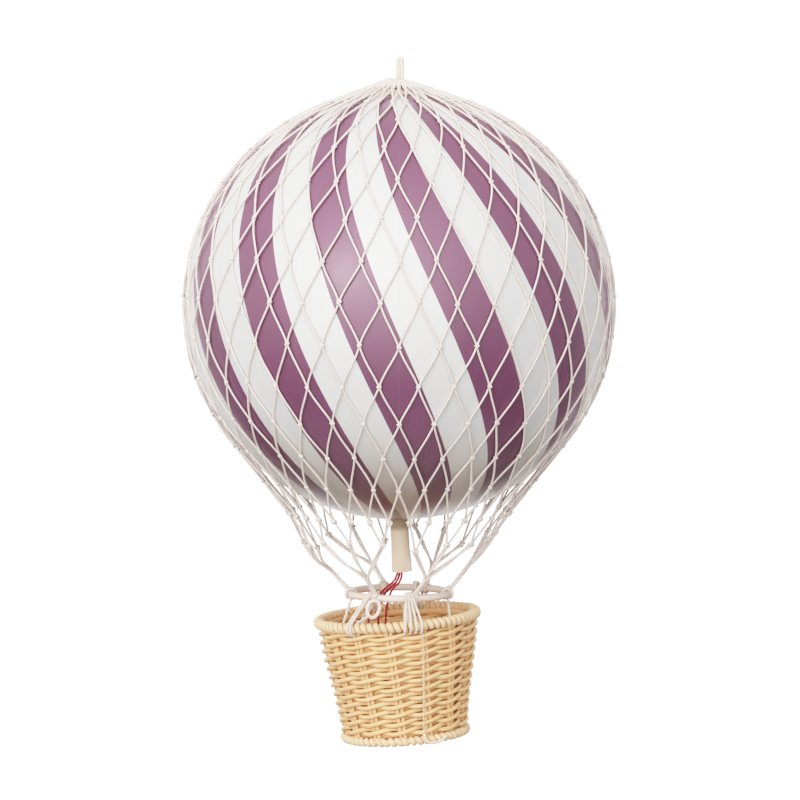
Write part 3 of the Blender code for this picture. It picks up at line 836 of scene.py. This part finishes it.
def add_net_knot(tubes, knot, growth):
    length, azimuth, tone = knot
    place_at, normal = on_net(length, azimuth, 0.0002)
    lean = Matrix.Rotation(random.uniform(-0.5, 0.5), 3, normal)
    size = random.uniform(0.00080, 0.00105) * growth
    line = knot_line(place_at, normal, lean @ up_along(normal), size, 0.00042 * growth)
    tubes.add(line, 0.00046 * growth, 6, closed=True, tone=tone)


def add_gathered_cords(tubes, knot):
    """The cords from a top knot in to the loop, each with its own shift aside and depth in the heap."""
    length, azimuth, tone = knot
    for shift, depth in GATHERED_CORDS:
        rise = random.uniform(-0.0004, 0.0005)
        route = []
        for k in range(7):
            t = k / 6
            place_at, _ = on_net(length * (1 - 0.74 * t), azimuth, rise * t)
            reach = hypot(place_at.x, place_at.y)
            aside = shift * TWINE_RADIUS * (1 - 0.4 * t) / max(reach, 0.001)
            low = depth * crown_rise(reach, azimuth)
            route.append(around(reach, azimuth + aside, place_at.z - low))
        route.append(route[-1] * 0.86 + Vector((0.0, 0.0, 0.14 * route[-1].z - 0.0010)))
        thick = TWINE_RADIUS * random.uniform(1.3, 1.7)
        tubes.add(smooth_route(route, 0.0011), thick, 6, tone=tone + random.uniform(-0.1, 0.2))


def build_net():
    """Knots on a diamond grid, joined by slightly bowed strands; the top strands gather at the crown."""
    random.seed(7)
    tubes = Tubes()
    rows = net_knots([NET_RADIUS * (pi / 2 - NET_GATHER_LATITUDE)] + net_lengths())
    for row, (above, below) in enumerate(zip(rows, rows[1:])):
        aside = 1 if row % 2 else -1
        for column in range(NET_COLUMNS):
            add_strand(tubes, above[column], below[column], above[column][2])
            add_strand(tubes, above[column], below[(column + aside) % NET_COLUMNS], below[column][2])
    for row in rows[1:]:
        for knot in row:
            add_net_knot(tubes, knot, LAST_KNOT_GROWTH if row is rows[-1] else 1.0)
    for knot in rows[0]:
        add_gathered_cords(tubes, knot)
    net = tubes.object("twine_net", "twine")
    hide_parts("net")
    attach(net, "envelope")


def build_crown_lashing():
    """Three turns of twine over the gathered net, on a coil that fills the hollow under it."""
    random.seed(11)
    tubes = Tubes()
    sides = 40
    steps = 3 * sides
    line = []
    for k in range(steps + 1):
        turn = tau * k / sides
        line.append(around(0.0032 + 0.0001 * sin(5 * turn), turn, -0.0121 + 0.0013 * k / steps))
    tubes.rope(line, TWINE_RADIUS, 2, 0.0022, up=UP, tone=0.8)
    for turn in range(COIL_TURNS):
        radius = 0.0032 + 0.0010 * turn
        risen = 1 - (turn / (COIL_TURNS - 1)) ** 2
        height = SEAM_Z + sqrt(NET_RADIUS ** 2 - radius ** 2) - 0.0011
        coil = []
        for k in range(sides):
            azimuth = tau * k / sides
            coil.append(around(radius, azimuth, height + risen * crown_rise(radius, azimuth)))
        tubes.add(coil, 0.00065, 7, closed=True, tone=0.3)
    lashing = tubes.object("crown_binding", "twine")
    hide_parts("crown_lashing")
    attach(lashing, "envelope")


def build_hanging_loop():
    """The doubled cord: a narrow upright loop, closed under the ball's top by its stopper knot."""
    random.seed(3)
    top_z = LOOP_TOP_Z - LOOP_HALF_WIDTH
    line = []
    for start, z in ((0.0, top_z), (pi, top_z - LOOP_LENGTH)):
        for k in range(17):
            turn = start + pi * k / 16
            x = LOOP_ASIDE + LOOP_HALF_WIDTH * cos(turn)
            line.append(Vector((x, 0.0, z + LOOP_HALF_WIDTH * sin(turn))))
    tubes = Tubes()
    line = even_loop(line, 0.00045)
    tubes.rope(line, LOOP_CORD, 3, 0.0034, closed=True, up=-FRONT, tone=0.7, sides=8)
    knot = knot_line(Vector((0.0, 0.0, LOOP_KNOT_Z)), FRONT, UP, 0.0021, 0.0010)
    tubes.rope(even_loop(knot, 0.0004), 0.00085, 3, 0.0030, closed=True)
    loop = tubes.object("doubled_hanging_cord", "loop")
    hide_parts("hanging_loop")
    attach(loop, "hanger")


# ---- crow's feet and ring

def foot_middle(index):
    return FOOT_FIRST_AZIMUTH + index * tau / FOOT_COUNT


def add_doubled(tubes, points, spread, pitch, tone, radius):
    """Two strands that lie side by side and turn slowly round each other."""
    travelled = 0.0
    first, second = [], []
    previous = points[0]
    for point, normal, binormal in frames_along(points):
        travelled += (point - previous).length
        previous = point
        turn = tau * travelled / pitch
        offset = spread * turned(turn, normal, binormal)
        first.append(point + offset)
        second.append(point - offset)
    for line in (first, second):
        tubes.add(line, radius, 7, tone=tone + random.uniform(-0.08, 0.08))


def build_crows_foot(index):
    """Six legs from the net's last knots, knotted two by two, whose doubled cords meet above the ring."""
    random.seed(100 + index)
    tubes = Tubes()
    last = net_lengths()[-1]
    middle = foot_middle(index)
    at_ring = FOOT_RING_AZIMUTHS[index]
    left = max(0.0, -sin(middle)) ** 2
    merge = around(FOOT_MERGE[0] + 0.0008 * left, 0.5 * (middle + at_ring), FOOT_MERGE[1])
    arrive = around(RING_RADIUS + 0.0018, at_ring, RING_Z + RING_SECTION + 0.0008)
    over = around(RING_RADIUS, at_ring, RING_Z + RING_SECTION + 0.0006)
    for side in (-1, 0, 1):
        azimuth = middle + 2 * side * NET_STEP
        along = last + FOOT_JOIN_DISTANCE + random.uniform(-0.0065, 0.0045)
        bow = 0.0010 + 0.0024 * max(0.0, -sin(azimuth)) ** 2
        join, normal = on_net(along, azimuth)
        join += bow * normal
        tone = random.uniform(0.35, 0.75)
        for half in (-0.5, 0.5):
            top = on_net(last, azimuth + half * NET_STEP)[0]
            sway = random.uniform(-0.0003, 0.0003) * outward(azimuth + pi / 2)
            route = [top, top.lerp(join, 0.5) + sway, join]
            tubes.add(smooth_route(route, 0.0012), TWINE_RADIUS, 7, up=normal, tone=tone)
        knot = knot_line(join, normal, up_along(normal), 0.00140, 0.00060)
        tubes.add(knot, 0.00062, 6, closed=True, tone=tone)
        apart = 0.0007 * side * outward(at_ring + pi / 2)
        sag = join.lerp(merge, 0.5) + (0.5 * bow + random.uniform(-0.0004, 0.0003)) * normal
        line = smooth_route([join, sag, merge + apart, arrive + 0.6 * apart, over + 0.6 * apart], 0.0011)
        add_doubled(tubes, line, 0.00046, random.uniform(0.040, 0.060), tone, 0.00058)
    foot = tubes.object(f"crows_foot_cords_{index + 1:02d}", "twine")
    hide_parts(f"crows_foot_{index + 1:02d}")
    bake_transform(foot)


def build_whipping(index):
    """Three slanting turns of twine round the ring, drawn tight with a small knot on top."""
    random.seed(200 + index)
    tubes = Tubes()
    middle = FOOT_RING_AZIMUTHS[index]
    section = RING_SECTION + 0.00040
    line = []
    sides = 14
    count = 3 * sides
    for k in range(count + 1):
        azimuth = middle + (k / count - 0.5) * WHIPPING_WIDTH / RING_RADIUS
        turn = tau * k / sides
        line.append(round_hoop(RING_RADIUS, RING_Z, section, turn, azimuth))
    tubes.add(line, 0.00048, 6, tone=random.uniform(0.6, 0.9))
    knot_place = around(RING_RADIUS + 0.0012, middle, RING_Z + section)
    knot = knot_line(knot_place, outward(middle), UP, 0.0009, 0.0004)
    tubes.add(knot, 0.0005, 6, closed=True, tone=0.7)
    bend = knot_place - 0.0010 * UP + 0.0012 * outward(middle + 0.6)
    tail = [knot_place, bend, bend - 0.0018 * UP - 0.0001 * outward(middle)]
    tubes.add(smooth_route(tail, 0.0006), 0.00042, 6, tone=0.7)
    whipping = tubes.object(f"whipping_turns_{index + 1:02d}", "twine")
    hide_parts(f"ring_whipping_{index + 1:02d}")
    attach(whipping, "ring")


def build_ring():
    """Bent cane, a little out of round, whose tapered ends overlap at the back."""
    points = []
    radii = []
    steps = 144
    for k in range(steps + 1):
        azimuth = radians(150) + tau * 1.04 * k / steps
        lap = max(0.0, 1 - min(k, steps - k) / 7)
        shift = copysign(lap, k - steps / 2)
        wave = 0.00012 * sin(3 * azimuth) + 0.0003 * shift
        points.append(around(RING_RADIUS + wave, azimuth, RING_Z + 0.0005 * shift))
        radii.append(RING_SECTION * (0.97 - 0.45 * lap))
    tubes = Tubes()
    tubes.add(points, radii, 14, up=UP, tone=0.55)
    ring = tubes.object("bent_cane_ring", "ring")
    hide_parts("load_ring")
    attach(ring, "ring")


# ---- neck and red lines

def sleeve_ring(share, trim):
    """The sleeve's outline at a share of the way down, drawn in by trim for its inner face."""
    top, bottom = SLEEVE_LEVELS[0][0], SLEEVE_LEVELS[-1][0]
    z = top + (bottom - top) * share
    below = next(i for i in range(1, len(SLEEVE_LEVELS)) if z >= SLEEVE_LEVELS[i][0] - 1e-9)
    low, high = SLEEVE_LEVELS[below], SLEEVE_LEVELS[below - 1]
    t = (high[0] - z) / (high[0] - low[0])
    width, depth, drift = (high[j] + (low[j] - high[j]) * t for j in (1, 2, 3))
    ring = []
    for k in range(SLEEVE_SIDES):
        turn = tau * k / SLEEVE_SIDES
        buckle = 0.00012 * sin(2 * turn + 260 * z) + 0.00008 * sin(5 * turn - 700 * z)
        lap = 0.00018 if 0.15 < k / SLEEVE_SIDES < 0.23 else 0.0
        swell = share * buckle + lap - trim
        cut = 0.0005 * sin(turn + 0.7) * share ** 6
        x = drift + (width + swell) * cos(turn)
        ring.append(Vector((x, (depth + swell) * sin(turn), z + cut)))
    return ring


def build_sleeve():
    """A paper tube, round in the ball's hole and flattened below, with a glued lap and a cut mouth."""
    rows = 36
    rings = [sleeve_ring(row / rows, 0.0) for row in range(rows + 1)]
    rings += [sleeve_ring(row / rows, SLEEVE_WALL) for row in range(rows, -1, -1)]
    verts = [v for ring in rings for v in ring]
    mesh = new_mesh("paper_neck_sleeve", verts, grid_faces(len(rings), SLEEVE_SIDES, flipped=True))
    mesh.shade_smooth()
    mesh.set_sharp_from_angle(angle=radians(40))
    sleeve = place("paper_neck_sleeve", mesh, ("paper",))
    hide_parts("neck_sleeve")
    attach(sleeve, "envelope")


def build_red_line(index):
    route = RED_LINE_ROUTES[index]
    line = smooth_route(route, 0.0024)
    tubes = Tubes()
    tubes.add(line, RED_LINE_RADIUS, 10)
    cord = tubes.object(f"red_thread_{index + 1:02d}", "red")
    knot_tubes = Tubes()
    knot = knot_line(line[-1] - 0.0002 * UP, FRONT, UP, 0.0009, 0.0004)
    knot_tubes.add(knot, 0.00036, 6, closed=True)
    knot_object = knot_tubes.object(f"red_thread_knot_{index + 1:02d}", "red")
    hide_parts(f"red_line_{index + 1:02d}")
    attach(cord, "envelope")
    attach(knot_object, "envelope")


# ---- basket

LEAN = (
    Matrix.Translation((BASKET_SHIFT, 0.0, BASKET_MIDDLE_Z))
    @ Matrix.Rotation(BASKET_LEAN, 4, "Y")
    @ Matrix.Translation((0.0, 0.0, -BASKET_MIDDLE_Z))
)
STAKES = 14
STRAND_RADIUS = 0.00108
STAKE_RADIUS = 0.00100
ROW_COUNT = 12
ROW_PITCH = 0.00413
STAKE_APART = 0.00104
RIM_WRAP_PITCH = 0.0031
BULGE_PITCH = 0.0031
FLOOR_STRAND = 0.0008
WEAVE_DEPTH = 0.0013


def lean_points(points):
    return [LEAN @ p for p in points]


def wall_outer(z):
    """The wall's outer radius at a height, read from its outline."""
    for (r0, z0), (r1, z1) in zip(WALL_OUTER, WALL_OUTER[1:]):
        if z >= z1:
            t = min(max((z0 - z) / (z0 - z1), 0.0), 1.0)
            return r0 + (r1 - r0) * t
    return WALL_OUTER[-1][0]


def wall_middle(z):
    return wall_outer(z) - WEAVE_DEPTH - STRAND_RADIUS


def stake_azimuth(index, z):
    """Stakes lean a little towards +X as they go down."""
    drift = (RIM_Z - z) * 1.6
    return tau * index / STAKES - radians(7.0) + drift


def weave_row(tubes, row, z_row):
    """Two strands that twist round each other and take in a double stake at every half turn."""
    sides = 18
    uneven = [random.uniform(-0.0002, 0.0002) for _ in range(STAKES)]
    for strand in range(2):
        points = []
        normals = []
        radii = []
        for k in range(sides * STAKES):
            azimuth = stake_azimuth(k / sides, z_row)
            turn = pi * k / sides + pi * strand
            ease = cos(turn)
            depth = WEAVE_DEPTH * copysign(abs(ease) ** 0.8, ease)
            step = uneven[(k + sides // 2) // sides % STAKES]
            z = z_row + 0.29 * ROW_PITCH * sin(turn - 0.5) + step
            points.append(around(wall_middle(z) + depth + 0.0006, azimuth, z))
            normals.append(outward(azimuth))
            radii.append(STRAND_RADIUS * (1 + 0.05 * sin(azimuth * 5 + row)))
        tone = random.uniform(0.15, 0.85)
        tubes.add(lean_points(points), radii, 8, closed=True, up=normals, flat=0.95, tone=tone)


def build_wall():
    """Pairing weave on double stakes, with a hoop behind each gap that keeps the light out."""
    random.seed(31)
    tubes = Tubes()
    top = RIM_Z - RIM_SECTION - 0.0021
    for row in range(ROW_COUNT):
        weave_row(tubes, row, top - ROW_PITCH * row)
    for row in range(ROW_COUNT + 1):
        z = top - ROW_PITCH * (row - 0.5)
        hoop = circle(wall_middle(z) - 0.0016, z)
        tubes.add(lean_points(hoop), 0.0010, 8, closed=True, up=[UP] * len(hoop), flat=1.5, tone=0.0)
    low = FOOT_BORDER_Z - 0.0005
    for index in range(STAKES):
        for side in (-1, 1):
            points = []
            for k in range(33):
                z = RIM_Z + (low - RIM_Z) * k / 32
                azimuth = stake_azimuth(index, z) + side * STAKE_APART / wall_middle(z)
                points.append(around(wall_middle(z) + 0.0002, azimuth, z))
            tubes.add(lean_points(points), STAKE_RADIUS, 8, tone=random.uniform(0.8, 1.2))
    wall = tubes.object("twined_basket_wall", "wall")
    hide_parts("basket_wall")
    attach(wall, "basket")


def build_rim():
    """A hoop's core and the one strand wound round it."""
    strand, flat = 0.00143, 0.78
    tubes = Tubes()
    core = circle(RIM_RADIUS, RIM_Z)
    tubes.add(lean_points(core), RIM_SECTION - strand * flat, 10, closed=True, tone=0.2)
    points = []
    normals = []
    turns = round(tau * RIM_RADIUS / RIM_WRAP_PITCH)
    count = turns * 18
    for k in range(count):
        azimuth = tau * k / count
        turn = -tau * turns * k / count
        wobble = 1 + 0.05 * sin(7 * azimuth + 1.3) + 0.04 * sin(11 * azimuth)
        way = turned(turn, outward(azimuth), UP)
        spread = (RIM_SECTION - strand * flat * 0.6) * wobble
        points.append(around(RIM_RADIUS, azimuth, RIM_Z) + spread * way)
        normals.append(way)
    tubes.add(lean_points(points), strand, 8, closed=True, up=normals, flat=flat, tone=0.6)
    rim = tubes.object("wrapped_basket_rim", "rim")
    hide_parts("basket_rim")
    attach(rim, "basket")


def build_foot_border():
    """A rolled border: the stakes' ends, bent over one another, each a short slanting bulge."""
    random.seed(43)
    tubes = Tubes()
    core = circle(FOOT_BORDER_RADIUS, FOOT_BORDER_Z)
    tubes.add(lean_points(core), 0.0013, 10, closed=True, tone=0.15)
    count = round(tau * FOOT_BORDER_RADIUS / BULGE_PITCH)
    high = radians(125.0)
    for bulge in range(count):
        middle = tau * (bulge + random.uniform(-0.10, 0.10)) / count
        size = 0.00150 * random.uniform(0.86, 1.10)
        low = radians(-118.0 + random.uniform(-12.0, 12.0))
        slant = random.uniform(0.0020, 0.0034)
        reach = FOOT_BORDER_SECTION - 0.75 * size
        points = []
        radii = []
        for k in range(11):
            t = k / 10
            turn = high + (low - high) * t
            azimuth = middle + slant * (t - 0.5) / FOOT_BORDER_RADIUS
            points.append(round_hoop(FOOT_BORDER_RADIUS, FOOT_BORDER_Z, reach, turn, azimuth))
            radii.append(size * (0.62 + 0.38 * sin(pi * (0.12 + 0.76 * t))))
        tubes.add(lean_points(points), radii, 8, flat=0.9, tone=random.uniform(0.1, 0.95))
    border = tubes.object("rolled_foot_border", "rim")
    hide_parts("basket_foot_border")
    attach(border, "basket")


def build_floor():
    """A round base woven in pairing on crossed spokes."""
    random.seed(47)
    tubes = Tubes()
    z = FLOOR_TOP_Z - 0.0010
    sides = 12
    radius = 0.0042
    while radius < FLOOR_RADIUS - 0.0008:
        for strand in range(2):
            points = []
            for k in range(sides * STAKES):
                azimuth = tau * k / (sides * STAKES)
                turn = pi * k / sides + pi * strand
                points.append(around(radius + 0.0007 * sin(turn), azimuth, z + 0.0009 * cos(turn)))
            tone = random.uniform(0.2, 0.8)
            tubes.add(lean_points(points), FLOOR_STRAND, 7, closed=True, up=UP, tone=tone)
        radius += 0.0030
    for index in range(STAKES // 2):
        azimuth = tau * index / STAKES
        points = [around(FLOOR_RADIUS * (k / 10 - 1), azimuth, z) for k in range(21)]
        tubes.add(lean_points(points), FLOOR_STRAND, 7, tone=random.uniform(0.5, 0.9))
    floor = tubes.object("woven_basket_floor", "wall")
    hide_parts("basket_floor")
    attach(floor, "basket")


def belt(first, first_size, second, second_size, across):
    """A closed line round two bars seen end on; across is the direction along the bars."""
    along = (second - first).normalized()
    side = across.cross(along).normalized()
    slope = asin((first_size - second_size) / (second - first).length)
    arcs = (
        (first, first_size, pi / 2 - slope, pi + 2 * slope, 12),
        (second, second_size, -pi / 2 - slope, pi - 2 * slope, 16),
    )
    points = []
    for centre, size, start, sweep, steps in arcs:
        for k in range(steps + 1):
            turn = start + sweep * k / steps
            points.append(centre + size * turned(turn, along, side))
    return points


def wrap_tie(tubes, azimuth, turns, ring_pitch, rim_pitch):
    """Turns of cord round the ring and the rim, fanned out over the rim."""
    across = outward(azimuth + pi / 2)
    ring_size = RING_SECTION + TIE_CORD + 0.0001
    rim_size = RIM_SECTION + TIE_CORD + 0.0002
    for turn in range(turns):
        offset = turn - 0.5 * (turns - 1)
        first = around(RING_RADIUS, azimuth, RING_Z) + across * offset * ring_pitch
        second = LEAN @ (around(RIM_RADIUS, azimuth, RIM_Z) + across * offset * rim_pitch)
        slack = random.uniform(0.0, 0.0004)
        line = even_loop(belt(first, ring_size, second, rim_size + slack, across), 0.0007)
        tubes.rope(line, TIE_CORD, 2, TIE_PITCH, closed=True, up=across, tone=random.uniform(0.5, 0.9))


def lace_tie(tubes, azimuth, lean_round):
    """Two cords from the ring down to the wall's inside, under the rim, where they are knotted."""
    side = copysign(1.0, azimuth)
    low = LEAN @ around(RIM_RADIUS - 0.0042, azimuth - side * lean_round, RIM_Z - 0.0036)
    reach = RING_SECTION + TIE_CORD
    steps = 13
    for share in (-0.5, 0.5):
        wrap = []
        for k in range(steps):
            turn = radians(-60) + tau * k / steps
            at = azimuth + 0.045 * share + 0.03 * k / steps
            wrap.append(round_hoop(RING_RADIUS, RING_Z, reach, turn, at))
        end = low + 0.0008 * share * outward(azimuth + pi / 2)
        bend = wrap[-1].lerp(end, 0.5) - 0.0006 * UP
        line = smooth_route(wrap + [bend, end], 0.0006)
        tubes.rope(line, TIE_CORD, 2, 0.0026, tone=random.uniform(0.5, 0.9))
    knot = knot_line(low, outward(azimuth), UP, 0.0015, 0.0007)
    tubes.add(knot, 0.0008, 6, closed=True, tone=0.7)


def hang_bow(tubes, azimuth):
    """The long loop that is left of the bow on the front left tie."""
    centre = around(RING_RADIUS + 0.0054, azimuth + radians(9.0), RING_Z - 0.0045)
    side = Vector((1.0, 0.1, 0.0)).normalized()
    steps = 48
    line = []
    for k in range(steps):
        turn = tau * k / steps
        reach = 0.0029 * cos(turn) * (1 + 0.12 * sin(turn))
        line.append(centre + reach * side + 0.0040 * sin(turn) * Vector((0.12, 0.1, 1.0)))
    tubes.rope(line, 0.00098, 3, 0.0040, closed=True, up=-FRONT, tone=0.85)
    start = centre + Vector((-0.0020, -0.0006, -0.0030))
    end = LEAN @ around(RIM_RADIUS + 0.0005, azimuth + 0.07, RIM_Z + RIM_SECTION + 0.0006)
    bend = start.lerp(end, 0.5) - 0.0004 * UP
    tubes.rope(smooth_route([start, bend, end], 0.0006), TIE_CORD, 2, TIE_PITCH, tone=0.8)


def build_tie(index):
    random.seed(300 + index)
    tubes = Tubes()
    azimuth = (TIE_AZIMUTHS[index] + pi) % tau - pi
    if index in (2, 5):
        lace_tie(tubes, azimuth, radians(30.0 if index == 2 else 24.0))
    elif index == 0:
        wrap_tie(tubes, azimuth, 2, 0.0013, 0.0016)
        hang_bow(tubes, azimuth)
    else:
        wrap_tie(tubes, azimuth, 4 if index == 1 else 3, 0.0009, 0.0024)
    tie = tubes.object(f"tie_turns_{index + 1:02d}", "white_cord")
    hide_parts(f"basket_tie_{index + 1:02d}")
    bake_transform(tie)


def build_basket_cord():
    random.seed(51)
    tubes = Tubes()
    for route, radius, pitch, tone in (
        (BASKET_CORD_ROUTE, 0.00036, 0.0024, 0.1),
        (CORD_END_ROUTE, 0.00085, 0.0028, 0.75),
    ):
        points = [LEAN @ around(reach, radians(azimuth), z) for azimuth, reach, z in route]
        tubes.rope(smooth_route(points, 0.0006), radius, 2, pitch, tone=tone)
    cord = tubes.object("front_basket_cord", "cream_cord")
    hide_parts("basket_cord")
    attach(cord, "basket")


# ---- pieces that stay as the CAD has them

def finish_inner_pieces():
    for node_name, key in (("washer", "wood"), ("joining_band", "card")):
        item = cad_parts[node_name]
        item.data.materials.clear()
        item.data.materials.append(MATERIALS[key])


place_camera()
set_film()
make_materials()
for index in range(len(RED_LINE_ROUTES)):
    build_red_line(index)
light_the_world()
add_key_light()
make_stage()

shell_half("painted_upper_shell", "upper_shell", True)
shell_half("painted_lower_shell", "lower_shell", False)
build_net()
build_crown_lashing()
build_hanging_loop()
for index in range(FOOT_COUNT):
    build_crows_foot(index)
    build_whipping(index)
build_ring()
build_sleeve()
build_wall()
build_rim()
build_foot_border()
build_floor()
for index in range(len(TIE_AZIMUTHS)):
    build_tie(index)
build_basket_cord()
finish_inner_pieces()
